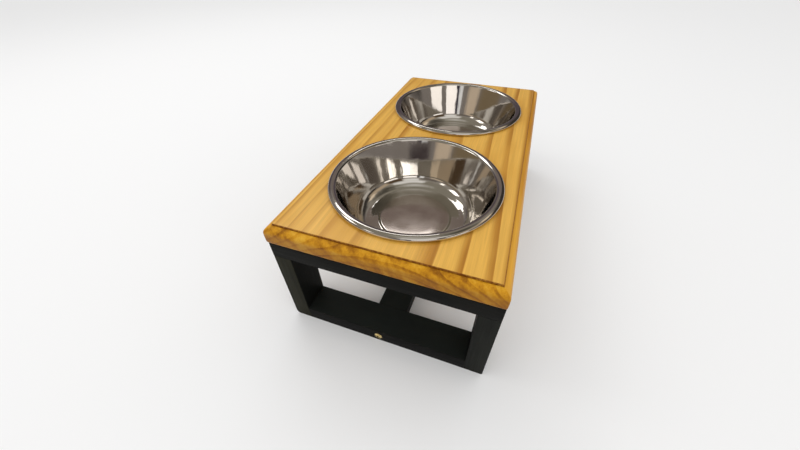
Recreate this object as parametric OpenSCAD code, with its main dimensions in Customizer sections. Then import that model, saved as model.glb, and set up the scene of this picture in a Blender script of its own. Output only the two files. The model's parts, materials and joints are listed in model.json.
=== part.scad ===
// Raised pet feeder: a pine board carries two lift-out steel bowls. It stands on two
// open end frames of planed bar, and one stretcher ties the frames at the floor.
// X runs across the board, Y along it and Z up. The origin is on the floor, mid-board.

/* [Bowls] */
// Outside diameter of a bowl's rolled rim
rim_d = 206; // [180:1:230]
// Width of the rolled rim, from the mouth to the outside
rim_w = 10; // [8:0.5:13]
// Height of the rim's crown above the board
rim_h = 5.6; // [4.5:0.1:8]
// Height of the rim's widest point above the board
rim_belly = 2.2; // [1.6:0.1:3]
// Width of the flat hem that the rim rests on
hem_w = 2; // [1:0.1:3]
// Depth of the pressed disc in the bowl's floor below the board's top
bowl_depth = 54; // [40:1:80]
// Thickness of the bowl's steel
sheet_t = 0.8; // [0.5:0.05:1.2]
// Lean of the bowl's wall, in degrees from upright
wall_lean = 20; // [10:0.5:26]
// Inside radius where the wall turns into the floor
heel_r = 12; // [8:1:20]
// Radius of the disc pressed up in the middle of the floor
disc_r = 46; // [30:1:52]
// Height of that disc above the floor round it
disc_h = 2; // [1:0.1:3]
// Radius of the bends of the disc's edge
disc_bend = 2.2; // [1.8:0.1:4]
// Space between the two rims
rim_gap = 19; // [10:1:40]

/* [Board] */
// Thickness of the board
board_t = 25; // [20:0.5:32]
// Wood left between a rim and the board's long edge
side_margin = 22; // [14:1:40]
// Space between a bowl's wall and its hole
hole_gap = 2; // [1:0.1:4]
// Radius of the routed round-over, which is also how far in its step lies
round_r = 8; // [5:0.5:10]
// Depth of the routed step
step_h = 2; // [1:0.1:3]
// Corner radius of the raised field inside the step
field_r = 1; // [0.5:0.1:4]
// Corner radius of the board itself, rubbed off the mitred corners of its edge
corner_r = 1.5; // [0.5:0.1:4]
// Radius of the eased lower edge
lower_r = 5; // [2:0.5:8]

/* [Base] */
// Height of the end frames, floor to board
frame_h = 135; // [115:1:260]
// Thickness of the bar in the rails and the stretcher
bar_t = 20; // [16:0.5:26]
// Thickness of the bar in the posts
post_t = 22; // [16:0.5:28]
// Width of both bars
bar_w = 38; // [30:1:50]
// Radius of the bars' long edges
bar_ease = 0.6; // [0.4:0.1:3]
// Radius of the outer corner of a post's foot
foot_r = 2; // [1:0.5:6]
// The same radius on the near left foot, which is rubbed rounder
worn_foot_r = 6; // [1:0.5:7]
// How far the frames stand in from the board's long edges
side_inset = 0.5; // [0:0.5:10]
// How far the frames stand in from the board's ends
end_inset = 2; // [0:0.5:10]
// Space between a bowl's wall and the top rail beside it
rail_gap = 3.7; // [0.5:0.1:6]

/* [Fasteners] */
// Shank diameter of every screw
shank_d = 4.5; // [3.5:0.1:5]
// Head diameter of the brass screws that show
brass_head_d = 10; // [8:0.1:11]
// Height of the brass screws' raised crown
brass_crown = 2; // [0.5:0.1:2.5]
// Head diameter of the hidden steel screws
steel_head_d = 8.5; // [7:0.1:10]
// How far the hidden heads are sunk below the wood
head_sink = 0.6; // [0.2:0.1:1.5]
// Depth to which a screw bites into the second piece
screw_bite = 26; // [18:1:35]
// Wood left above the point of a screw in the board
top_skin = 9; // [5:1:12]
// Distance from a post to the board screw beside it
board_screw_in = 23; // [12:1:40]
// How far the stretcher screws lie off the middle, towards -X
tie_screw_off = 5; // [0:0.5:8]
// How far the stretcher screws lie below the middle of the bar
tie_screw_low = 1; // [0:0.5:3]
// Width of the cross recess in a head
recess_w = 1.5; // [1:0.1:2]
// Length of a screw's point
point_l = 8; // [4:1:10]
// Clearance all round a screw in its bore
bore_gap = 0.1; // [0.05:0.05:0.2]

/* [Hidden] */
$fn = 96;
rim_r = rim_d / 2;
crown_a = rim_w / 2;
crown_b = rim_h - rim_belly;
// Angle on the crown's oval at which it runs into the leaning wall
mouth_at = atan(crown_b / crown_a * tan(wall_lean));
mouth_x = rim_r - crown_a - crown_a * cos(mouth_at);
mouth_z = rim_belly + crown_b * sin(mouth_at);
floor_z = -bowl_depth - disc_h;
disc_turn = acos(1 - disc_h / (2 * disc_bend));
heel_z = floor_z + heel_r;
heel_x = mouth_x + ((heel_z - mouth_z) * sin(wall_lean) - heel_r) / cos(wall_lean);

board_top = frame_h + board_t;
hole_r = wall_outside(0) + hole_gap;
bowl_y = rim_r + rim_gap / 2;
tie_l = 2 * (bowl_y + wall_outside(-board_t) + rail_gap);
frame_y = tie_l / 2 + bar_w;
board_l = 2 * (frame_y + end_inset);
board_w = rim_d + 2 * side_margin;
rim_t = board_t - step_h;
frame_w = board_w - 2 * side_inset;
inside_w = frame_w - 2 * post_t;
post_h = frame_h - bar_t;
post_x = frame_w / 2 - post_t / 2;
bar_mid_y = frame_y - bar_w / 2;
board_screw_x = inside_w / 2 - board_screw_in;

pine = "#D9A648";
black = "#1E1E1C";
steel = "#B9B9B6";
brass = "#C8A550";
zinc = "#9C9C9A";

// Outside radius of a bowl's wall at a height above the board's top
function wall_outside(z) =
    mouth_x - (mouth_z - z) * tan(wall_lean) + sheet_t / cos(wall_lean);

// A bowl's sheet is drawn by its upper face. Each point is [x, z, nx, nz], and the
// normal n points to the sheet's under side: it is 1 or -1 times the arc's radius.
function sheet_arc(cx, cz, r, from, to, steps, under) = [
    for (i = [0:steps])
        let (a = from + (to - from) * i / steps)
        [cx + r * cos(a), cz + r * sin(a), under * cos(a), under * sin(a)]
];

function crown_arc(steps) = [
    for (i = [0:steps])
        let (a = mouth_at + (180 - mouth_at) * i / steps)
        let (n = norm([crown_b * cos(a), crown_a * sin(a)]))
        [rim_r - crown_a - crown_a * cos(a), rim_belly + crown_b * sin(a),
         crown_b * cos(a) / n, -crown_a * sin(a) / n]
];

// Upper face of the sheet, from the middle of the floor out and over the rim
function bowl_face() = concat(
    [[0, -bowl_depth, 0, -1]],
    sheet_arc(disc_r - disc_bend * sin(disc_turn), -bowl_depth - disc_bend,
              disc_bend, 90, 90 - disc_turn, 5, -1),
    sheet_arc(disc_r + disc_bend * sin(disc_turn), floor_z + disc_bend,
              disc_bend, 270 - disc_turn, 270, 5, 1),
    sheet_arc(heel_x, heel_z, heel_r, -90, -wall_lean, 12, 1),
    crown_arc(18),
    sheet_arc(rim_r - rim_belly, rim_belly, rim_belly, -15, -90, 5, -1),
    [[rim_r - rim_belly - hem_w, 0, 0, 1]]
);

module bowl() {
    face = bowl_face();
    last = len(face) - 1;
    upper = [for (p = face) [p[0], p[1]]];
    under = [for (i = [last:-1:0]) [face[i][0] + sheet_t * face[i][2], face[i][1] + sheet_t * face[i][3]]];
    rotate_extrude() polygon(concat(upper, under));
}

module placed_bowl(end) {
    color(steel) translate([0, end * bowl_y, board_top]) bowl();
}

// Waste outside a quarter round whose square corner is at the origin
module round_waste(r) {
    difference() {
        translate([-r, -r]) square(r + 1);
        translate([-r, -r]) circle(r);
    }
}

// The board in section below its step: X runs across it and Y is up from its under side
module rim_section(width) {
    difference() {
        translate([-width / 2, 0]) square([width, rim_t]);
        for (side = [0, 1]) {
            mirror([side, 0]) translate([width / 2, rim_t]) round_waste(round_r);
            mirror([side, 0]) translate([width / 2, 0]) mirror([0, 1]) round_waste(lower_r);
        }
    }
}

// The same section run along a length, lying along Y
module rim_run(width, length) {
    translate([0, length / 2, frame_h]) rotate([90, 0, 0]) linear_extrude(length) rim_section(width);
}

// A rectangle with rounded corners
module plan_section(width, length, r) {
    square([width - 2 * r, length], center = true);
    square([width, length - 2 * r], center = true);
    for (x = [-1, 1], y = [-1, 1])
        translate([x * (width / 2 - r), y * (length / 2 - r)]) circle(r);
}

// An upright block of that section
module plan_block(width, length, r, z, h) {
    translate([0, 0, z]) linear_extrude(h) plan_section(width, length, r);
}

// The edge is routed along all four sides, so its profiles meet in mitres at the
// corners. The raised field stands on it with its own sharper corners.
module board_blank() {
    intersection() {
        rim_run(board_w, board_l);
        rotate(90) rim_run(board_l, board_w);
        plan_block(board_w, board_l, corner_r, frame_h, rim_t);
    }
    plan_block(board_w - 2 * round_r, board_l - 2 * round_r, field_r, frame_h + rim_t / 2, board_t - rim_t / 2);
}

module top_board() {
    color(pine) difference() {
        board_blank();
        for (end = [-1, 1]) {
            translate([0, end * bowl_y, frame_h - 1]) cylinder(r = hole_r, h = board_t + 2);
            board_screws(end, bore = true);
        }
    }
}

// Section of the planed bar, with its long edges eased
module bar_section(across, up) {
    square([across - 2 * bar_ease, up], center = true);
    square([across, up - 2 * bar_ease], center = true);
    for (x = [-1, 1], y = [-1, 1])
        translate([x * (across / 2 - bar_ease), y * (up / 2 - bar_ease)]) circle(bar_ease);
}

// A bar that lies across the base, centred on X, with its under side at a height
module rail(end, length, z) {
    translate([-length / 2, end * bar_mid_y, z + bar_t / 2])
        rotate([90, 0, 90]) linear_extrude(length) bar_section(bar_w, bar_t);
}

module top_rail(end) {
    color(black) difference() {
        rail(end, frame_w, post_h);
        post_cap_screws(end, bore = true);
        board_screws(end, bore = true);
    }
}

module bottom_rail(end) {
    color(black) difference() {
        rail(end, inside_w, 0);
        rail_end_screws(end, bore = true);
        stretcher_screw(end, bore = true);
    }
}

// Waste that rounds the outer corner of a foot, seen from the end
module foot_corner(side, end, r) {
    translate([side * frame_w / 2, end * bar_mid_y + bar_w, 0]) rotate([90, 0, 0]) linear_extrude(2 * bar_w)
        scale([side, -1]) round_waste(r);
}

module post(side, end) {
    color(black) difference() {
        translate([side * post_x, end * bar_mid_y, 0]) linear_extrude(post_h) bar_section(post_t, bar_w);
        foot_corner(side, end, side + end == -2 ? worn_foot_r : foot_r);
        rail_end_screws(end, bore = true);
        post_cap_screws(end, bore = true);
    }
}

module centre_stretcher() {
    color(black) difference() {
        translate([0, tie_l / 2, bar_t / 2])
            rotate([90, 0, 0]) linear_extrude(tie_l) bar_section(bar_w, bar_t);
        for (end = [-1, 1]) stretcher_screw(end, bore = true);
    }
}

// A countersunk wood screw along Z, its head's edge at 0 and its point below. The
// bore for it has the same outline, wider by the clearance and open above.
module screw(length, head_d, crown, bore) {
    grow = bore ? bore_gap : 0;
    head_r = head_d / 2;
    cone = head_r - shank_d / 2;
    crown_r = crown > 0 ? (head_r * head_r + crown * crown) / (2 * crown) : 0;
    crown_turn = crown > 0 ? asin(head_r / crown_r) : 0;
    top = bore ? [[0, 5], [head_r + grow, 5]]
        : crown > 0 ? [for (i = [0:5]) let (a = crown_turn * i / 6)
                           [crown_r * sin(a), crown - crown_r * (1 - cos(a))]]
        : [[0, 0]];
    below = [
        [head_r + grow, 0],
        [shank_d / 2 + grow, -cone],
        [shank_d / 2 + grow, point_l - length],
        [0, -length - grow]
    ];
    difference() {
        rotate_extrude() polygon(concat(top, below));
        if (!bore) {
            for (turn = [0, 90]) {
                rotate(turn) translate([-head_d * 0.28, -recess_w / 2, crown - cone])
                    cube([head_d * 0.56, recess_w, cone + 1]);
            }
        }
    }
}

// Brass screw through the bottom rail into the end of the stretcher
module stretcher_screw(end, bore = false) {
    color(brass) translate([-tie_screw_off, end * frame_y, bar_t / 2 - tie_screw_low])
        rotate([-end * 90, 0, 0]) screw(bar_w + screw_bite, brass_head_d, brass_crown, bore);
}

// Brass screws through the feet of the posts into the ends of the bottom rail
module rail_end_screws(end, bore = false) {
    color(brass) for (side = [-1, 1]) {
        translate([side * frame_w / 2, end * bar_mid_y, bar_t / 2])
            rotate([0, side * 90, 0]) screw(post_t + screw_bite, brass_head_d, brass_crown, bore);
    }
}

// Steel screws down through the top rail into the tops of the posts
module post_cap_screws(end, bore = false) {
    color(zinc) for (side = [-1, 1]) {
        translate([side * post_x, end * bar_mid_y, frame_h - head_sink])
            screw(bar_t + screw_bite, steel_head_d, 0, bore);
    }
}

// Steel screws up through the top rail into the board
module board_screws(end, bore = false) {
    color(zinc) for (side = [-1, 1]) {
        translate([side * board_screw_x, end * bar_mid_y, post_h + head_sink])
            rotate([180, 0, 0]) screw(bar_t - head_sink + board_t - top_skin, steel_head_d, 0, bore);
    }
}

top_board();
placed_bowl(-1);  // near_bowl
placed_bowl(1);  // far_bowl
top_rail(-1);  // near_top_rail
bottom_rail(-1);  // near_bottom_rail
post(-1, -1);  // near_left_post
post(1, -1);  // near_right_post
top_rail(1);  // far_top_rail
bottom_rail(1);  // far_bottom_rail
post(-1, 1);  // far_left_post
post(1, 1);  // far_right_post
centre_stretcher();
stretcher_screw(-1);  // near_stretcher_screw
stretcher_screw(1);  // far_stretcher_screw
rail_end_screws(-1);  // near_rail_end_screws
rail_end_screws(1);  // far_rail_end_screws
post_cap_screws(-1);  // near_post_cap_screws
post_cap_screws(1);  // far_post_cap_screws
board_screws(-1);  // near_board_screws
board_screws(1);  // far_board_screws
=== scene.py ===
import json
import math
from functools import partial

import bmesh
import bpy
import numpy as np
from mathutils import Matrix, Vector


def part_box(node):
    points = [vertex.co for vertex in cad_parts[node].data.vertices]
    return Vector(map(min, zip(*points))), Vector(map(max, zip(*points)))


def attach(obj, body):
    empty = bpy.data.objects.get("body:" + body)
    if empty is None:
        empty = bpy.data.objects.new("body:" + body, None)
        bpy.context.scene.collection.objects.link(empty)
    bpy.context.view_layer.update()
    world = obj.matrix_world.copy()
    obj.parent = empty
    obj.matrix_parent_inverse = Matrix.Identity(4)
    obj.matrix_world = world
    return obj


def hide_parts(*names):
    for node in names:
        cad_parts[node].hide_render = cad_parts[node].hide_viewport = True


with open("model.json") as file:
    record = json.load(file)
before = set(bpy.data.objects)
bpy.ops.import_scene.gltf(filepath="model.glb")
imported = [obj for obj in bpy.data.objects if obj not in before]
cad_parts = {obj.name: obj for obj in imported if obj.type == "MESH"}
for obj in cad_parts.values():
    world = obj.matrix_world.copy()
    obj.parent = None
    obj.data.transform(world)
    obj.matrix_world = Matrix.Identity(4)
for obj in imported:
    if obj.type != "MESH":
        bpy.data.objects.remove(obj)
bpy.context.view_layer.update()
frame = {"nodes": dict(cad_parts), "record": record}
print("frame loaded,", len(frame["nodes"]), "nodes")

mm = 0.001


def srgb(hexColour):
    # turns an sRGB hex colour to the linear values that the shaders take
    parts = [int(hexColour[i:i + 2], 16) / 255 for i in (1, 3, 5)]
    return [p / 12.92 if p <= 0.04045 else ((p + 0.055) / 1.055) ** 2.4 for p in parts] + [1.0]


def camelName(node):
    first, *rest = node.split("_")
    return first + "".join(word.capitalize() for word in rest)


def capitalised(word):
    return word[0].upper() + word[1:]


# Mesh tools

meshing = {
    "seam": 0.002 * mm,     # points nearer than this are one point
    "sliver": 0.0001 * mm,  # edges shorter than this are dropped
}


def gridFaces(rows, cols, closed):
    # quads between neighbouring points of a grid; closed joins the last column to the first
    index = np.arange(rows * cols).reshape(rows, cols)
    right = np.roll(index, -1, axis=1)
    if not closed:
        index, right = index[:, :-1], right[:, :-1]
    quads = np.stack([index[:-1], right[:-1], right[1:], index[1:]], axis=-1)
    return quads.reshape(-1, 4)


def joinSurfaces(surfaces):
    # each surface is (points of shape rows x cols x 3, closed); gives one point list and one face list
    points, faces, start = [], [], 0
    for grid, closed in surfaces:
        rows, cols = grid.shape[:2]
        points.append(grid.reshape(-1, 3))
        faces.append(gridFaces(rows, cols, closed) + start)
        start += rows * cols
    return np.concatenate(points), np.concatenate(faces)


def closeMesh(mesh):
    # merges the seams and poles, drops what collapsed there, and turns the faces outwards
    work = bmesh.new()
    work.from_mesh(mesh)
    bmesh.ops.remove_doubles(work, verts=work.verts, dist=meshing["seam"])
    bmesh.ops.dissolve_degenerate(work, edges=work.edges, dist=meshing["sliver"])
    bmesh.ops.recalc_face_normals(work, faces=work.faces)
    work.to_mesh(mesh)
    work.free()


def bodyOf(node):
    for body, members in frame["record"]["behaviour"]["bodies"].items():
        if node in members:
            return body


def makePiece(name, surfaces, node, material, sharpAngle=32, caps=()):
    # one mesh from the surfaces and their caps, in place of a CAD node; edges that turn by more than
    # sharpAngle degrees stay sharp
    points, faces = joinSurfaces(surfaces)
    mesh = bpy.data.meshes.new(name)
    mesh.from_pydata(points.tolist(), [], faces.tolist() + [list(cap) for cap in caps])
    piece = bpy.data.objects.new(name, mesh)
    bpy.context.scene.collection.objects.link(piece)
    closeMesh(mesh)
    mesh.shade_smooth()
    mesh.set_sharp_from_angle(angle=math.radians(sharpAngle))
    mesh.materials.append(material)
    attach(piece, bodyOf(node))
    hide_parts(node)
    return piece


def arc(centre, radius, start, stop, steps):
    # centre plus radius times (cosine, sine) of an angle that runs from start to stop, in degrees
    a = np.radians(np.linspace(start, stop, steps))
    return np.stack([centre[0] + radius * np.cos(a), centre[1] + radius * np.sin(a)], axis=1)


# Material tools

times, plus, minus = {"operation": "MULTIPLY"}, {"operation": "ADD"}, {"operation": "SUBTRACT"}
higher, lower, unsigned = {"operation": "MAXIMUM"}, {"operation": "MINIMUM"}, {"operation": "ABSOLUTE"}
smooth = {"interpolation_type": "SMOOTHSTEP"}
colours = {"data_type": "RGBA"}    # its two colours are inputs 6 and 7


def setInputs(node, inputs):
    # inputs is a list in order or a dict by name or number; a value is a number, a vector, an sRGB hex
    # colour, or a socket or node to link from, where a node gives its first output in use
    for key, value in (inputs.items() if isinstance(inputs, dict) else enumerate(inputs)):
        if isinstance(value, bpy.types.Node):
            value = next(socket for socket in value.outputs if socket.enabled)
        if isinstance(value, bpy.types.NodeSocket):
            node.id_data.links.new(value, node.inputs[key])
        else:
            node.inputs[key].default_value = srgb(value) if isinstance(value, str) else value


def addNode(tree, kind, inputs=(), stops=(), **settings):
    # stops are a colour ramp's (position, sRGB hex) pairs, in order
    node = tree.nodes.new("ShaderNode" + kind)
    for key, value in settings.items():
        setattr(node, key, value)
    for index, (position, hexColour) in enumerate(stops):
        elements = node.color_ramp.elements
        element = elements[index] if index < 2 else elements.new(position)
        element.position, element.color = position, srgb(hexColour)
    setInputs(node, inputs)
    return node


def newMaterial(name):
    # gives the material, the function that adds nodes to it, its shader, and the place of a point in mm
    material = bpy.data.materials.new(name)
    material.use_nodes = True
    add = partial(addNode, material.node_tree)
    coords = add("TexCoord").outputs["Object"]
    place = add("VectorMath", [coords, [1 / mm] * 3], **times)
    return material, add, material.node_tree.nodes["Principled BSDF"], place


def uneven(add, place, size, detail, rough, shift=(0, 0, 0)):
    # a cloudy pattern whose patches are about size mm long on each axis, and which starts shift patches away
    placed = add("Mapping", {"Vector": place, "Location": shift, "Scale": [1 / s for s in size]})
    return add("TexNoise", {"Vector": placed, "Scale": 1.0, "Detail": detail, "Roughness": rough})


# The pine board

boardLow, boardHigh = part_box("top_board")
bowlNodes = ("near_bowl", "far_bowl")
bowlBoxes = {name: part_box(name) for name in bowlNodes}

board = {
    "roundR": 8 * mm,       # routed round-over, which is also how far in the step lies
    "stepH": 2 * mm,        # routed step
    "fieldR": 1 * mm,       # plan corner of the raised field
    "cornerR": 1.5 * mm,    # plan corner of the board, rubbed off the mitre
    "lowerR": 5 * mm,       # eased lower edge
    "lipR": 0.3 * mm,       # the step's sanded lip
    "holeR": 94.9 * mm,     # radius of each hole, as in the CAD
    "sideSteps": 44, "endSteps": 36, "fanSteps": 5, "arcSteps": 14, "lipSteps": 5, "ringSteps": 10,
}


def halfOutline(halfW, halfL, r):
    # near half of a rounded rectangle, from the middle of its right side round to the middle of its left:
    # two straight runs and an end, joined by quarter circles
    side = np.linspace(0, r - halfL, board["sideSteps"], endpoint=False)
    end = np.linspace(halfW - r, r - halfW, board["endSteps"])[1:-1]
    fan = arc((halfW - r, r - halfL), r, 0, -90, board["fanSteps"])
    right = np.stack([np.full(side.size, halfW), side], axis=1)
    near = np.stack([end, np.full(end.size, -halfL)], axis=1)
    return np.concatenate([right, fan, near, (fan * [-1, 1])[::-1], (right * [-1, 1])[::-1]])


def edgeProfile(thick):
    # three quarter circles from the top down: the lip, the round-over and the lower edge. Each level has its
    # distance in from the board's edge, its height over the under side, and its plan corner radius
    b = board
    lip = arc((b["roundR"] + b["lipR"], thick - b["lipR"]), b["lipR"], 90, 180, b["lipSteps"])
    over = arc((b["roundR"], thick - b["stepH"] - b["roundR"]), b["roundR"], 90, 180, b["arcSteps"])
    under = arc((b["lowerR"], b["lowerR"]), b["lowerR"], 180, 270, b["arcSteps"])
    levels = np.concatenate([lip, over, under])
    radii = np.where(np.arange(len(levels)) < len(lip), b["fieldR"], b["cornerR"])
    return np.column_stack([levels, radii])


def makeBoard(material):
    # the edge's profile runs round the whole outline, level by level; above and below, a polar grid runs from
    # each hole out to half the outline: hole x (1 - t) + outline x t, with t from 0 to 1
    half = (boardHigh.x, boardHigh.y)
    nearLow, nearHigh = bowlBoxes["near_bowl"]
    centre = np.array([0, (nearLow.y + nearHigh.y) / 2])
    profile = edgeProfile(boardHigh.z - boardLow.z)
    rings, surfaces = [], []
    for inward, height, r in profile:
        near = halfOutline(half[0] - inward, half[1] - inward, r)
        ring = np.concatenate([near[:-1], -near[:-1]])
        rings.append(np.column_stack([ring, np.full(len(ring), boardLow.z + height)]))
    surfaces.append((np.stack(rings), True))
    t = np.linspace(0, 1, board["ringSteps"])[:, None, None]
    holes = []
    for inward, height, r in (profile[0], profile[-1]):
        near = halfOutline(half[0] - inward, half[1] - inward, r)
        middle = np.linspace(near[-1], near[0], board["endSteps"])[1:-1]
        outer = np.concatenate([near, middle])
        away = outer - centre
        hole = centre + board["holeR"] * away / np.linalg.norm(away, axis=1)[:, None]
        flat = hole * (1 - t) + outer * t
        level = np.dstack([flat, np.full(flat.shape[:2], boardLow.z + height)])
        holes.append(level[0])
        surfaces += [(level, True), (level * [-1, -1, 1], True)]
    wall = np.stack(holes)
    surfaces += [(wall, True), (wall * [-1, -1, 1], True)]
    return makePiece("pineBoard", surfaces, "top_board", material)


pine = {
    "ringSpacing": 8.9,     # mm between growth rings
    "pith": (11, -185),     # the tree's centre, mm right of the board's middle and up from its top
    "firstRing": -0.28,     # shift of the rings, in years
    "taper": 0.0088,        # mm that the wood lies further from the pith per mm along the board
    "wander": 3.0,          # mm that the rings stray
    # parts of a year over which the late wood and its sharp line come up, and over which they end
    "lateFrom": (0.56, 0.87), "lateTo": (1.0, 0.95),
    "lineFrom": (0.84, 0.94), "lineTo": (1.0, 0.97), "lineShare": 0.5,
    # the late wood is strongest right of the middle and fades towards the left edge: from -reach to +reach in
    # mm, white is full strength
    "reach": 126.0,
    "acrossStrength": [(0.0, "#E0E0E0"), (0.12, "#BEBEBE"), (0.19, "#C4C4C4"), (0.27, "#FFFFFF"),
                       (0.4, "#D0D0D0"), (0.68, "#F4F4F4"), (1.0, "#FFFFFF")],
    # each row: the pattern's values that it runs between, then what they give
    "unevenStrength": (0.3, 0.65, 0.62, 1.0),
    "fibreShade": (0.3, 0.7, 0.94, 1.05),
    "streakShade": (0.3, 0.7, 0.93, 1.06),
    "patchShare": (0.42, 0.7, 0.0, 0.6),
    "roughness": (0.3, 0.7, 0.34, 0.44),
    "edgeShare": (-5.0, -0.4, 0.0, 0.6),    # mm from the step on the right, where one more dark ring lies
    "light": "#E1AD4B", "late": "#B4791F", "line": "#A06614", "patch": "#D09731", "edge": "#A9711A",
    "specular": 0.12, "coat": (0.5, 0.03), "coatRoughness": 0.28,    # coat weight of the top and of the rim
    "reliefStrength": 0.25, "reliefDepth": 0.2 * mm,
}
# the patterns in the wood: size of a patch along x, y and z in mm, detail, roughness and start; the fibres
# are drawn about twenty times as wide as real ones, which are too fine to show
pinePatterns = {
    "wander": ((40, 300, 40), 1.5, 0.5),
    "strength": ((30, 110, 30), 2.0, 0.5, (4, 9, 2)),
    "fibre": ((0.7, 34, 0.7), 3.0, 0.6),
    "streak": ((3.2, 120, 3.2), 2.0, 0.5, (2, 5, 3)),
    "patch": ((45, 130, 45), 2.0, 0.5, (3, 7, 1)),
    "blotch": ((11, 16, 30), 2.0, 0.5, (1, 2, 4)),
    "speck": ((2.4, 2.4, 4), 3.0, 0.7, (6, 1, 4)),
}
rim = {
    "blend": (-0.3, 0.5),         # mm over which the field turns into the rim
    "mitreBlend": (-0.3, 0.3),    # mm over which side grain turns into end grain
    "slant": math.radians(38),    # lean of the end grain's blotches
    "blotchShare": 0.72, "speckShare": 0.28, "lateShare": 0.14,
    "deep": [(0.3, "#85510A"), (0.42, "#AD7311"), (0.52, "#CB8F1A"), (0.67, "#E0AC38")],
    "linesShare": (0.38, 0.6, 0.0, 0.35), "lines": "#B67C22", "sideTint": "#FFF7D0",
    "belowDepth": (2, 13), "belowShare": 0.58, "below": "#744508",    # mm under the top over which the rim's painted shade deepens
    # varnish pooled dark against the step: its width and depth in mm, and how ragged it is
    "poolWidth": (0.9, 0.2), "poolDepth": (3.6, 1.9), "poolRagged": (0.3, 0.6, 0.5, 0.95),
    "poolSide": "#8F560C", "poolEnd": "#6B3705",
}


def growthYear(add, place):
    # how far through its year the wood at a point grew: the fraction of (distance from the pith + taper x
    # distance along the board) / ring spacing + first ring, where the wander pattern, about its mean of 0.5,
    # moves the point
    stray = uneven(add, place, *pinePatterns["wander"]).outputs["Color"]
    stray = add("VectorMath", [stray, [0.5] * 3], **minus)
    stray = add("VectorMath", [stray, [2 * pine["wander"]] * 3], **times)
    x, y, z = add("SeparateXYZ", [add("VectorMath", [place, stray], **plus)]).outputs
    pithX, pithUp = pine["pith"]
    dx = add("Math", [x, pithX], **minus)
    dz = add("Math", [z, boardHigh.z / mm + pithUp], **minus)
    squares = add("Math", [add("Math", [dx, dx], **times), add("Math", [dz, dz], **times)], **plus)
    radius = add("Math", [squares], operation="SQRT")
    along = add("Math", [y, boardLow.y / mm], **minus)
    radius = add("Math", [radius, add("Math", [along, pine["taper"]], **times)], **plus)
    years = add("Math", [radius, pine["ringSpacing"]], operation="DIVIDE")
    return add("Math", [add("Math", [years, pine["firstRing"]], **plus)], operation="FRACT")


def lateStrength(add, place, x):
    # how strongly the late wood shows: by its place across the board, and uneven along it
    across = add("Math", [add("Math", [x, pine["reach"]], **plus), 2 * pine["reach"]], operation="DIVIDE")
    side = add("ValToRGB", [across], stops=pine["acrossStrength"])
    pattern = uneven(add, place, *pinePatterns["strength"])
    return add("Math", [side, add("MapRange", [pattern, *pine["unevenStrength"]], **smooth)], **times)


def yearBand(add, year, start, stop):
    # up over the first part of the year and down over the second
    return add("Math", [add("MapRange", [year, *start], **smooth), add("MapRange", [year, *stop], **smooth)],
               **times)


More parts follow.
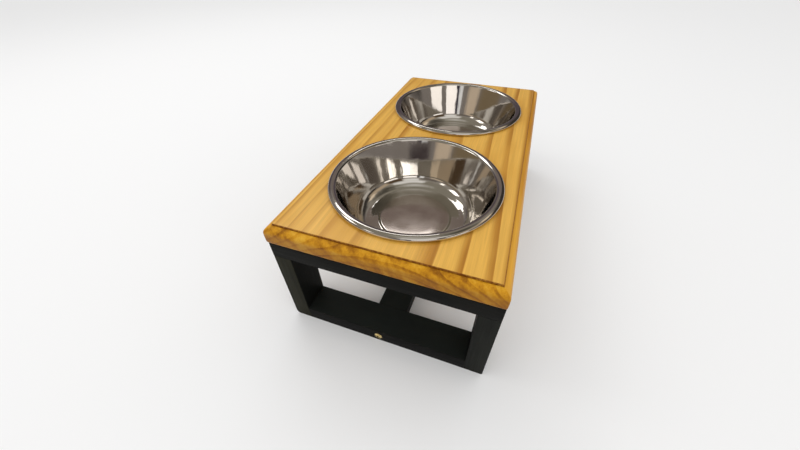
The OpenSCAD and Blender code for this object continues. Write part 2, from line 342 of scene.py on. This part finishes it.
def pineMaterial():
    # flat-sawn pine under amber varnish: each year's growth darkens outwards and ends in a sharp line; the
    # routed rim took more varnish and its end grain is mottled; painted shade darkens the rim low down
    material, add, shader, place = newMaterial("varnishedPine")
    x, y, z = add("SeparateXYZ", [place]).outputs
    fibre, streak, patch, speck = (uneven(add, place, *pinePatterns[name])
                                   for name in ("fibre", "streak", "patch", "speck"))

    year, strength = growthYear(add, place), lateStrength(add, place, x)
    lateWood = add("Math", [yearBand(add, year, pine["lateFrom"], pine["lateTo"]), strength], **times)
    line = yearBand(add, year, pine["lineFrom"], pine["lineTo"])
    lineShare = add("Math", [line, add("Math", [strength, pine["lineShare"]], **times)], **times)
    wood = add("Mix", {0: lateWood, 6: pine["light"], 7: pine["late"]}, **colours)
    wood = add("Mix", {0: lineShare, 6: wood, 7: pine["line"]}, **colours)
    fibreShade = add("MapRange", [fibre, *pine["fibreShade"]], **smooth)
    streakShade = add("MapRange", [streak, *pine["streakShade"]], **smooth)
    shade = add("Math", [fibreShade, streakShade], **times)
    wood = add("VectorMath", {0: wood, "Scale": shade}, operation="SCALE")
    patchShare = add("MapRange", [patch, *pine["patchShare"]], **smooth)
    wood = add("Mix", {0: patchShare, 6: wood, 7: pine["patch"]}, **colours)

    # how far out a point lies past the step, and on which side of the corner's mitre
    stepX, stepY = ((reach - board["roundR"]) / mm for reach in (boardHigh.x, boardHigh.y))
    outX = add("Math", [add("Math", [x], **unsigned), stepX], **minus)
    outY = add("Math", [add("Math", [y], **unsigned), stepY], **minus)
    out = add("Math", [outX, outY], **higher)
    onRim = add("MapRange", [out, *rim["blend"]], **smooth)
    atEnd = add("MapRange", [add("Math", [outY, outX], **minus), *rim["mitreBlend"]], **smooth)
    down = add("Math", [boardHigh.z / mm, z], **minus)

    # the end grain drank the varnish in slanted blotches one to two centimetres across, with pale specks
    slanted = add("Mapping", {"Vector": place, "Rotation": (0, rim["slant"], 0)})
    blotch = uneven(add, slanted, *pinePatterns["blotch"])
    mottle = add("Math", [add("Math", [blotch, rim["blotchShare"]], **times),
                          add("Math", [speck, rim["speckShare"]], **times)], **plus)
    mottle = add("Math", [mottle, add("Math", [lateWood, rim["lateShare"]], **times)], **minus)
    endGrain = add("ValToRGB", [mottle], stops=rim["deep"])
    sideWood = add("Mix", {0: 1.0, 6: wood, 7: rim["sideTint"]}, blend_type="MULTIPLY", **colours)
    linesShare = add("MapRange", [streak, *rim["linesShare"]], **smooth)
    sideWood = add("Mix", {0: linesShare, 6: sideWood, 7: rim["lines"]}, **colours)
    rimWood = add("Mix", {0: atEnd, 6: sideWood, 7: endGrain}, **colours)
    # painted shade: the rim is darkened towards its lower edge, where less light falls
    below = add("MapRange", [down, *rim["belowDepth"]], **smooth)
    below = add("Math", [below, rim["belowShare"]], **times)
    rimWood = add("Mix", {0: below, 6: rimWood, 7: rim["below"]}, **colours)
    edgeShare = add("MapRange", [add("Math", [x, stepX], **minus), *pine["edgeShare"]], **smooth)
    field = add("Mix", {0: edgeShare, 6: wood, 7: pine["edge"]}, **colours)
    varnished = add("Mix", {0: onRim, 6: field, 7: rimWood}, **colours)

    pool = add("Math", [add("MapRange", [add("Math", [out], **unsigned), *rim["poolWidth"]], **smooth),
                        add("MapRange", [down, *rim["poolDepth"]], **smooth)], **times)
    pool = add("Math", [pool, add("MapRange", [speck, *rim["poolRagged"]], **smooth)], **times)
    poolColour = add("Mix", {0: atEnd, 6: rim["poolSide"], 7: rim["poolEnd"]}, **colours)
    setInputs(shader, {
        "Base Color": add("Mix", {0: pool, 6: varnished, 7: poolColour}, **colours),
        "Roughness": add("MapRange", [patch, *pine["roughness"]], **smooth),
        "Specular IOR Level": pine["specular"],
        "Coat Weight": add("MapRange", [onRim, 0.0, 1.0, *pine["coat"]], **smooth),
        "Coat Roughness": pine["coatRoughness"],
        "Normal": add("Bump", {"Strength": pine["reliefStrength"], "Distance": pine["reliefDepth"],
                               "Height": fibre}),
    })
    return material


makeBoard(pineMaterial())
print("board made")


# The bars of the base

bar = {
    "ease": 0.6 * mm,         # radius of the planed bar's long edges
    "easeWander": 0.3,        # how much hand sanding changes that radius
    "waves": (31, 67, 118),   # waves of that change, in radians per metre
    "barPhase": 1.7, "cornerPhase": 2.1,    # radians by which they differ from bar to bar and at each corner
    "endEase": 0.3 * mm, "endLevels": (0, 0.3, 1),    # slight chamfer of a bar's end, and its levels
    "footR": 2 * mm,          # outer corner of a foot
    "wornFootR": 6 * mm,      # the near left foot is rubbed rounder
    "cornerSteps": 6, "lengthSteps": 48, "footSteps": 12,
}


def barSurface(low, high, seed, footR, outward):
    # a rounded rectangle carried along the longest side: each corner is its centre plus ease x (cosine,
    # sine), and ease wanders with the length as a mean of sines; a post's foot draws in on its outward side
    # along a quarter circle
    size = np.array(high) - np.array(low)
    centre = (np.array(high) + np.array(low)) / 2
    along = int(np.argmax(size))
    across, up = [axis for axis in range(3) if axis != along]
    half = size / 2
    ends = bar["endEase"] * np.array(bar["endLevels"])
    foot = footR * (1 - np.cos(np.radians(np.linspace(0, 90, bar["footSteps"]))))
    rise = np.linspace(0, size[along], bar["lengthSteps"])
    rise = np.unique(np.concatenate([rise, ends, size[along] - ends, foot]))
    inset = np.clip(bar["endEase"] - np.minimum(rise, size[along] - rise), 0, None)
    drawn = np.where(rise < footR, footR - np.sqrt(np.clip(footR ** 2 - (footR - rise) ** 2, 0, None)), 0)
    quarter = np.radians(np.linspace(0, 90, bar["cornerSteps"]))
    ring = []
    for corner, (sx, sy) in enumerate(((1, 1), (-1, 1), (-1, -1), (1, -1))):
        phase = seed * bar["barPhase"] + corner * bar["cornerPhase"]
        wave = np.mean([np.sin(rise * k + phase + k) for k in bar["waves"]], axis=0)
        ease = bar["ease"] * (1 + bar["easeWander"] * wave)
        a = quarter + corner * math.pi / 2
        cornerX = sx * (half[across] - inset - ease - (drawn if sx == outward else 0))
        cornerY = sy * (half[up] - inset - ease)
        ring.append(np.stack([cornerX[:, None] + ease[:, None] * np.cos(a),
                              cornerY[:, None] + ease[:, None] * np.sin(a)], axis=-1))
    flat = np.concatenate(ring, axis=1)
    grid = np.zeros(flat.shape[:2] + (3,))
    grid[..., across] = flat[..., 0] + centre[across]
    grid[..., up] = flat[..., 1] + centre[up]
    grid[..., along] = (rise + low[along])[:, None]
    return grid, along


stain = {
    "grain": (0.9, 45, 3.0, 0.6),    # mm across and along the bar, detail, roughness: a line of the grain
    "cloud": (16, 60, 2.0, 0.5),     # the same of a cloud in the stain
    "rub": (7, 7, 4.0, 0.7),         # and of a rubbed place
    "cloudShare": (0.35, 0.65), "grainShare": (0.52, 0.78, 0.0, 0.4),
    "sideFrom": (0.5, 0.9),          # how squarely a face looks along the stand to show its bar's own tint; other faces get painted side shade
    # painted shade: near-black for faces that don't look along the stand, such as a post's side facing the
    # other post
    "inner": ("#0B0B0A", "#141512"),
    # painted light: faces that look up are painted a little lighter, as if lit from above
    "upFrom": (0.7, 0.95, 0.0, 0.75), "dust": ("#191C1A", "#242825"),
    "rubWidth": (-0.9, -0.2),        # mm from the edge, inwards
    "rubShare": (0.52, 0.7, 0.0, 0.4), "rubbed": "#4A443A",
    "roughness": (0.3, 0.7, 0.5, 0.62), "specular": 0.07,
    "reliefStrength": 0.5, "reliefDepth": 0.3 * mm,
}
# each tint: the stain, where it is thin, and its grain lines
tints = {
    "plain": ("#0A0A08", "#11110E", "#1A1A15"),
    "deep": ("#070706", "#0D0D0B", "#161612"),
    "olive": ("#17170C", "#212013", "#2C2B18"),
    "green": ("#151613", "#1C1D19", "#25261F"),
    "brown": ("#171412", "#211C18", "#2C2621"),
}
barTints = {
    "near_top_rail": "plain", "near_bottom_rail": "deep",
    "near_left_post": "olive", "near_right_post": "green",
    "far_top_rail": "plain", "far_bottom_rail": "deep",
    "far_left_post": "plain", "far_right_post": "brown",
    "centre_stretcher": "plain",
}


def edgeDistance(add, place, low, high):
    # how near a point on a box lies to an edge: the second smallest of its depths under the box's faces, in
    # mm and negative
    centre = [(a + b) / 2 / mm for a, b in zip(low, high)]
    half = [(b - a) / 2 / mm for a, b in zip(low, high)]
    offset = add("VectorMath", [add("VectorMath", [place, centre], **minus)], **unsigned)
    x, y, z = add("SeparateXYZ", [add("VectorMath", [offset, half], **minus)]).outputs
    pairs = [add("Math", pair, **lower) for pair in ([x, y], [y, z], [x, z])]
    return add("Math", [add("Math", pairs[:2], **higher), pairs[2]], **higher)


def blackWoodMaterial(name, low, high, along, tint, seed):
    # softwood bar under a matt black stain: fine grain lines, edges rubbed back a little, and a greenish or
    # brownish cast where the stain is thin; side faces carry painted shade and faces that look up painted
    # light
    material, add, shader, place = newMaterial(name)
    patterns = []
    for key, shift in (("grain", (seed, seed * 2, seed * 3)), ("cloud", (seed * 5, 0, seed)),
                       ("rub", (seed, 3, seed))):
        wide, long, detail, rough = stain[key]
        patterns.append(uneven(add, place, [long if axis == along else wide for axis in range(3)],
                               detail, rough, shift))
    grain, cloud, rub = patterns
    cloudShare = add("MapRange", [cloud, *stain["cloudShare"]], **smooth)
    grainShare = add("MapRange", [grain, *stain["grainShare"]], **smooth)
    dark = add("Mix", {0: cloudShare, 6: tint[0], 7: tint[1]}, **colours)
    dark = add("Mix", {0: grainShare, 6: dark, 7: tint[2]}, **colours)

    # faces that look along the stand show the bar's own tint; the others are painted near-black as shade, and
    # those that look up are painted a little lighter, as light from above
    towards = add("SeparateXYZ", [add("NewGeometry").outputs["Normal"]]).outputs
    outer = add("MapRange", [add("Math", [towards[1]], **unsigned), *stain["sideFrom"]], **smooth)
    inner = add("Mix", {0: grain, 6: stain["inner"][0], 7: stain["inner"][1]}, **colours)
    dark = add("Mix", {0: outer, 6: inner, 7: dark}, **colours)
    # painted light on the faces that look up
    upward = add("MapRange", [towards[2], *stain["upFrom"]], **smooth)
    dust = add("Mix", {0: cloud, 6: stain["dust"][0], 7: stain["dust"][1]}, **colours)
    dark = add("Mix", {0: upward, 6: dark, 7: dust}, **colours)

    nearEdge = add("MapRange", [edgeDistance(add, place, low, high), *stain["rubWidth"]], **smooth)
    worn = add("Math", [nearEdge, add("MapRange", [rub, *stain["rubShare"]], **smooth)], **times)
    setInputs(shader, {
        "Base Color": add("Mix", {0: worn, 6: dark, 7: stain["rubbed"]}, **colours),
        "Roughness": add("MapRange", [grain, *stain["roughness"]], **smooth),
        "Specular IOR Level": stain["specular"],
        "Normal": add("Bump", {"Strength": stain["reliefStrength"], "Distance": stain["reliefDepth"],
                               "Height": grain}),
    })
    return material


for seed, (node, tint) in enumerate(barTints.items()):
    low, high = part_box(node)
    outward = node.endswith("right_post") - node.endswith("left_post")    # 0 for a bar that is no post
    footR = (bar["wornFootR"] if node == "near_left_post" else bar["footR"]) if outward else 0
    grid, along = barSurface(low, high, seed, footR, outward)
    rows, cols = grid.shape[:2]
    caps = [range(cols), range((rows - 1) * cols, rows * cols)]
    name = camelName(node)
    material = blackWoodMaterial("blackStain" + capitalised(name), low, high, along, tints[tint], seed)
    makePiece(name, [(grid, True)], node, material, caps=caps)
print("bars made")


# The bowls

bowl = {
    "rimW": 10 * mm,          # width of the rolled rim
    "rimBelly": 2.2 * mm,     # radius of its curled outer edge
    "hemW": 2 * mm,           # hem turned back under it
    "depth": 54 * mm,         # from the board's top to the disc
    "sheet": 0.8 * mm,
    "lean": 20.0,             # degrees of the wall from upright
    "heelR": 21 * mm,         # rounder than the solid's 12 mm, as the real bowls look
    "discR": 46 * mm, "discH": 2 * mm, "discBend": 2.2 * mm,    # disc pressed up in the floor, with two bends
    "rings": (12 * mm, 30 * mm),    # radii of two extra rings that keep the disc's faces small
    "curlFrom": -8,           # degrees at which the rim's curl takes over from its crown
    "bendSteps": 9, "heelSteps": 40, "crownSteps": 48, "curlSteps": 12, "turns": 224,
    "sharpAngle": 60,
}


def bowlProfile(rimR, rimH):
    # radius and height over the board along the upper face of the sheet, and the way to its under side: flat
    # disc, two opposite arcs down to the floor, heel arc, straight wall, and the rim as half an ellipse that
    # curls over to the hem
    b = bowl
    crownA, crownB = b["rimW"] / 2, rimH - b["rimBelly"]
    lean = math.radians(b["lean"])
    mouthAt = math.atan(crownB / crownA * math.tan(lean))
    mouthX = rimR - crownA - crownA * math.cos(mouthAt)
    mouthZ = b["rimBelly"] + crownB * math.sin(mouthAt)
    floorZ = -b["depth"] - b["discH"]
    turn = math.degrees(math.acos(1 - b["discH"] / (2 * b["discBend"])))
    run = b["discBend"] * math.sin(math.radians(turn))
    heelZ = floorZ + b["heelR"]
    heelX = mouthX + ((heelZ - mouthZ) * math.sin(lean) - b["heelR"]) / math.cos(lean)
    steps = b["bendSteps"]
    discTop = arc((b["discR"] - run, -b["depth"] - b["discBend"]), b["discBend"], 90, 90 - turn, steps)
    discFoot = arc((b["discR"] + run, floorZ + b["discBend"]), b["discBend"], 270 - turn, 270, steps)
    heel = arc((heelX, heelZ), b["heelR"], -90, -b["lean"], b["heelSteps"])
    a = np.linspace(mouthAt, math.pi, b["crownSteps"])
    crown = np.stack([rimR - crownA - crownA * np.cos(a), b["rimBelly"] + crownB * np.sin(a)], axis=1)
    curl = arc((rimR - b["rimBelly"], b["rimBelly"]), b["rimBelly"], b["curlFrom"], -90, b["curlSteps"])
    hem = [(rimR - b["rimBelly"] - b["hemW"], 0)]
    disc = [(r, -b["depth"]) for r in (0, *b["rings"])]
    floor = [((b["discR"] + run + heelX) / 2, floorZ)]
    wall = [tuple(heel[-1] * (1 - t) + crown[0] * t) for t in (0.25, 0.5, 0.75)]
    return np.concatenate([disc, discTop, discFoot[1:], floor, heel, wall, crown, curl, hem])


def sheetBothSides(face, thick):
    # the upper face, then the under face, offset by the sheet's thickness along its normal, as one outline
    step = np.gradient(face, axis=0)
    step /= np.linalg.norm(step, axis=1)[:, None]
    under = face + thick * np.stack([step[:, 1], -step[:, 0]], axis=1)
    under[0, 0] = 0
    return np.concatenate([face, under[::-1]])


def makeBowl(name, node, material):
    # the outline turned about the bowl's axis: (radius x cosine, radius x sine, height)
    low, high = bowlBoxes[node]
    centreX, centreY = (low.x + high.x) / 2, (low.y + high.y) / 2
    rimR, seat = (high.y - low.y) / 2, boardHigh.z
    outline = sheetBothSides(bowlProfile(rimR, high.z - seat), bowl["sheet"])
    around = np.linspace(0, 2 * math.pi, bowl["turns"], endpoint=False)
    radius, height = outline[:, 0][:, None], outline[:, 1][:, None]
    grid = np.stack([centreX + radius * np.cos(around), centreY + radius * np.sin(around),
                     np.broadcast_to(seat + height, (len(outline), len(around)))], axis=-1)
    return makePiece(name, [(grid, True)], node, material, sharpAngle=bowl["sharpAngle"])


steel = {
    # colours and roughness run with a smear pattern: size in mm, detail, roughness of the pattern
    "smear": ((22, 22, 22), 4.0, 0.6),
    "tone": ("#CBC6C0", "#D9D5CF"), "discTone": "#BFB1A8", "discShare": 0.7,
    "wallRoughness": (0.3, 0.7, 0.055, 0.09), "discRoughness": (0.3, 0.7, 0.11, 0.15),
    "discFrom": (-1, -3), "wallFrom": (8, 16),    # mm past the disc's edge
    # flutes drawn down the wall: radians that one takes, how far they drift per mm of height, and their depth
    "flute": 0.3125, "fluteDrift": 0.005, "fluteDetail": (3.0, 0.5), "fluteDepth": 0.4 * mm,
    # scratches on the disc, drawn wider than real ones, which are too fine to show
    "scratch": ((1.6, 18, 1), 2.0, 0.6, (5, 1, 0)), "scratchStrength": 0.2, "scratchDepth": 0.05 * mm,
}


def bowlSteelMaterial(name, centreY):
    # deep-drawn stainless, buffed bright, so it mirrors the room; drawing left faint flutes down the wall,
    # and the pressed disc is duller, with fine scratches
    material, add, shader, place = newMaterial(name)
    centred = add("Mapping", {"Vector": place, "Location": (0, -centreY / mm, 0)})
    flat = add("VectorMath", [centred, (1, 1, 0)], **times)
    radius = add("VectorMath", [flat], operation="LENGTH").outputs["Value"]
    outwards = add("Math", [radius, bowl["discR"] / mm], **minus)
    onDisc = add("MapRange", [outwards, *steel["discFrom"]], **smooth)
    onWall = add("MapRange", [outwards, *steel["wallFrom"]], **smooth)
    smear = uneven(add, centred, *steel["smear"])
    wallRough = add("MapRange", [smear, *steel["wallRoughness"]], **smooth)
    discRough = add("MapRange", [smear, *steel["discRoughness"]], **smooth)
    tone = add("Mix", {0: smear, 6: steel["tone"][0], 7: steel["tone"][1]}, **colours)
    discShare = add("Math", [onDisc, steel["discShare"]], **times)

    around = add("VectorMath", [flat], operation="NORMALIZE")
    upwards = add("VectorMath", [centred, (0, 0, steel["fluteDrift"])], **times)
    turned = add("VectorMath", [around, upwards], **plus)
    flutes = uneven(add, turned, [steel["flute"]] * 3, *steel["fluteDetail"])
    fluted = add("Bump", {"Strength": 1.0, "Distance": steel["fluteDepth"],
                          "Height": add("Math", [flutes, onWall], **times)})
    scratches = add("Math", [uneven(add, centred, *steel["scratch"]), onDisc], **times)
    setInputs(shader, {
        "Metallic": 1.0,
        "Base Color": add("Mix", {0: discShare, 6: tone, 7: steel["discTone"]}, **colours),
        "Roughness": add("Mix", {0: onDisc, 2: wallRough, 3: discRough}),
        "Normal": add("Bump", {"Strength": steel["scratchStrength"], "Distance": steel["scratchDepth"],
                               "Height": scratches, "Normal": fluted}),
    })
    return material


for node, (low, high) in bowlBoxes.items():
    name = camelName(node)
    makeBowl(name, node, bowlSteelMaterial("buffedStainless" + capitalised(name), (low.y + high.y) / 2))
print("bowls made")


# The screws, which keep their CAD meshes

screws = {
    "cloud": ((2.5, 2.5, 2.5), 4.0, 0.6),    # mm, detail, roughness of the tarnish
    "dullShare": (0.4, 0.65), "roughFrom": (0.3, 0.7), "roughSpan": 0.15,
    # name of the finish, bright and dull colour, least roughness, and the nodes that have it
    "finishes": [
        ("brassPlatedSteel", "#F0DA9C", "#A98A44", 0.2,
         ("near_stretcher_screw", "far_stretcher_screw", "near_rail_end_screws", "far_rail_end_screws")),
        ("zincPlatedSteel", "#C9CACC", "#9EA0A3", 0.3,
         ("near_post_cap_screws", "far_post_cap_screws", "near_board_screws", "far_board_screws")),
    ],
}


def screwMetal(name, bright, dull, rough):
    # turned and plated metal: bright where it was handled, tarnished in small clouds
    material, add, shader, place = newMaterial(name)
    cloud = uneven(add, place, *screws["cloud"])
    dullShare = add("MapRange", [cloud, *screws["dullShare"]], **smooth)
    roughest = rough + screws["roughSpan"]
    setInputs(shader, {
        "Metallic": 1.0,
        "Base Color": add("Mix", {0: dullShare, 6: bright, 7: dull}, **colours),
        "Roughness": add("MapRange", [cloud, *screws["roughFrom"], rough, roughest], **smooth),
    })
    return material


for name, bright, dull, rough, nodes in screws["finishes"]:
    finish = screwMetal(name, bright, dull, rough)
    for node in nodes:
        frame["nodes"][node].material_slots[0].material = finish
print("screws finished")


# Floor, light and camera

studio = {
    "floorReach": 6.0,           # metres from the middle
    "floorLevel": -0.2 * mm,     # just clear of the feet
    "floor": "#F4F4F4", "floorRoughness": 0.9,
    "backdrop": "#F2F2F1",
    "dome": [(0.0, "#FFFFFF"), (0.5, "#F4F4F4"), (1.0, "#E9E9E9")],    # from the horizon up
    "room": [(0.0, "#B9B5B0"), (0.06, "#837C77"), (0.3, "#88817A"), (0.45, "#9C968D"), (0.6, "#8E887C"),
             (0.8, "#8E897C"), (0.87, "#ADA99F"), (1.0, "#D4D2CC")],
    "lampDistance": 2.5, "lampAim": (0, 0, 0.13),    # metres
    "whitePower": 4,             # watts per square metre at which an area lamp looks white
}
# each patch of the room that the steel mirrors: bearing from +Y towards +X and its half width, heights of its
# lower and upper edge, the softness of its edges, all in degrees, and its colour
roomPatches = {
    "darkFront": (-22, 42, 3, 33, 8, "#5A5156"),
    "darkEast": (45, 36, 8, 40, 7, "#3B3733"),
    "beigeEast": (78, 26, 32, 47, 6, "#C2AF95"),
    "creamEast": (45, 12, 40, 49, 3, "#F0DDC2"),
    "darkHighEast": (48, 34, 53, 71, 8, "#57534A"),
    "brownShelf": (121, 17, 29, 47, 6, "#5C4A36"),
    "whiteBehind": (146, 42, 50, 69, 8, "#F4F2EE"),
    "whiteBehindLow": (153, 17, 35, 52, 5, "#F4F2EE"),
    "darkSouthWest": (-168, 15, 26, 41, 6, "#716962"),
    "dullDoor": (-17, 19, 32, 45.5, 5, "#7D716A"),
    "darkCorner": (168, 14, -5, 13.5, 6, "#3E3537"),
    "slitSouth": (170, 3, 14, 25, 1.5, "#3E3A46"),
    "stripSouth": (175.5, 3, 14, 30, 1.5, "#F4F4F4"),
    "tanDoor": (-156, 11, -5, 25, 5, "#CDBBA4"),
    "brownWall": (-117, 22, -5, 26, 8, "#7E6E56"),
}
# soft boxes as seen from the stand: bearing from +Y towards +X, height, width and tallness in degrees, then
# brightness, where 1 is white, and colour
softboxes = {
    "softboxWest": (-103, 42, 15, 13, 2.3, "#FFFDFA"),
    "softboxNorthWest": (-54, 47, 19, 10, 2.6, "#FFFFFF"),
    "softboxNorth": (-28, 50, 22, 5.5, 2.0, "#FFFFFF"),
    "softboxSouthWest": (-139, 37.5, 8, 12, 1.1, "#FFFBF5"),
    "softboxSouthEast": (116, 20, 24, 12, 0.95, "#FFFAF5"),
    "softboxSouth": (153, 22, 23, 12, 0.98, "#FFFBF8"),
}
# the camera, fitted to the board's corners, the rims and the near frame: place in metres, angles in radians
view = {
    "place": (0.0929, -0.4124, 0.3794),
    "yaw": -0.3621, "pitch": 0.7469, "roll": -0.0199,
    "focalPixels": 318.77, "imageWidth": 800,
    "sensorWidth": 36,    # mm
    "nearest": 0.01,      # metres
}


def makeFloor():
    mesh = bpy.data.meshes.new("studioFloor")
    reach = studio["floorReach"]
    corners = [(x * reach, y * reach, studio["floorLevel"]) for x, y in ((-1, -1), (1, -1), (1, 1), (-1, 1))]
    mesh.from_pydata(corners, [], [(0, 1, 2, 3)])
    floor = bpy.data.objects.new("studioFloor", mesh)
    bpy.context.scene.collection.objects.link(floor)
    material, add, shader, place = newMaterial("palePaperFloor")
    setInputs(shader, {"Base Color": studio["floor"], "Roughness": studio["floorRoughness"]})
    mesh.materials.append(material)


def roomPatch(add, bearing, height, turn, half, low, high, soft):
    # share of a patch at a direction: full inside its edges, and none a little past them
    a = math.radians(turn)
    cosine = add("VectorMath", [bearing, (math.sin(a), math.cos(a), 0)], operation="DOT_PRODUCT")
    narrow, wide = math.radians(max(half - soft, 0)), math.radians(half + soft)
    sides = add("MapRange", [cosine.outputs["Value"], math.cos(wide), math.cos(narrow)], **smooth)
    above = add("MapRange", [height, low - soft, low + soft], **smooth)
    under = add("MapRange", [height, high + soft, high - soft], **smooth)
    return add("Math", [sides, add("Math", [above, under], **times)], **times)


def makeWorld():
    # the camera sees a plain pale backdrop; the steel mirrors a dim, uneven room; the light that falls on
    # matt surfaces is an even dome, a little brighter low down
    world = bpy.data.worlds.new("studio")
    bpy.context.scene.world = world
    world.use_nodes = True
    add = partial(addNode, world.node_tree)
    coords = add("TexCoord").outputs["Generated"]
    up = add("SeparateXYZ", [coords]).outputs["Z"]
    height = add("Math", [add("Math", [up], operation="ARCSINE"), math.degrees(1)], **times)
    share = add("Math", [height, 90.0], operation="DIVIDE")
    level = add("VectorMath", [coords, (1, 1, 0)], **times)
    bearing = add("VectorMath", [level], operation="NORMALIZE")
    room = add("ValToRGB", [share], stops=studio["room"])
    for *patch, hexColour in roomPatches.values():
        room = add("Mix", {0: roomPatch(add, bearing, height, *patch), 6: room, 7: hexColour}, **colours)
    rays = add("LightPath").outputs
    seen = add("Mix", {0: rays["Is Camera Ray"], 6: room, 7: studio["backdrop"]}, **colours)
    mirrored = add("Math", [rays["Is Glossy Ray"], rays["Is Transmission Ray"]], **higher)
    isSeen = add("Math", [rays["Is Camera Ray"], mirrored], **higher)
    roomLight = add("Background", {"Color": seen, "Strength": 1.0})
    dome = add("ValToRGB", [share], stops=studio["dome"])
    domeLight = add("Background", {"Color": dome, "Strength": 1.0})
    light = add("MixShader", [isSeen, domeLight, roomLight])
    setInputs(world.node_tree.nodes["World Output"], {"Surface": light})


def addSoftbox(name, turn, height, wide, tall, brightness, hexColour):
    # a rectangular lamp facing the stand's middle; its power gives the brightness asked for over its own area
    far, aim = studio["lampDistance"], Vector(studio["lampAim"])
    t, h = math.radians(turn), math.radians(height)
    away = Vector((math.sin(t) * math.cos(h), math.cos(t) * math.cos(h), math.sin(h)))
    light = bpy.data.lights.new(name, "AREA")
    light.shape = "RECTANGLE"
    light.size = 2 * far * math.tan(math.radians(wide) / 2)
    light.size_y = 2 * far * math.tan(math.radians(tall) / 2)
    light.energy = studio["whitePower"] * light.size * light.size_y * brightness
    light.color = srgb(hexColour)[:3]
    lamp = bpy.data.objects.new(name, light)
    bpy.context.scene.collection.objects.link(lamp)
    lamp.location = aim + away * far
    lamp.rotation_mode = "QUATERNION"
    lamp.rotation_quaternion = (-away).to_track_quat("-Z", "Y")
    lamp.visible_camera = False


def makeCamera():
    cy, sy = math.cos(view["yaw"]), math.sin(view["yaw"])
    cp, sp = math.cos(view["pitch"]), math.sin(view["pitch"])
    forward = Vector((sy * cp, cy * cp, -sp))
    right = Vector((cy, -sy, 0))
    up = right.cross(forward)
    cr, sr = math.cos(view["roll"]), math.sin(view["roll"])
    right, up = right * cr + up * sr, up * cr - right * sr
    camera = bpy.data.objects.new("camera", bpy.data.cameras.new("camera"))
    bpy.context.scene.collection.objects.link(camera)
    camera.data.sensor_width = view["sensorWidth"]
    camera.data.lens = view["focalPixels"] / view["imageWidth"] * view["sensorWidth"]
    camera.data.clip_start = view["nearest"]
    turned = Matrix((right, up, -forward)).transposed().to_4x4()
    camera.matrix_world = Matrix.Translation(view["place"]) @ turned
    bpy.context.scene.camera = camera


makeFloor()
makeWorld()
for name, settings in softboxes.items():
    addSoftbox(name, *settings)
makeCamera()
bpy.context.scene.view_settings.view_transform = "Standard"
print("stage made")
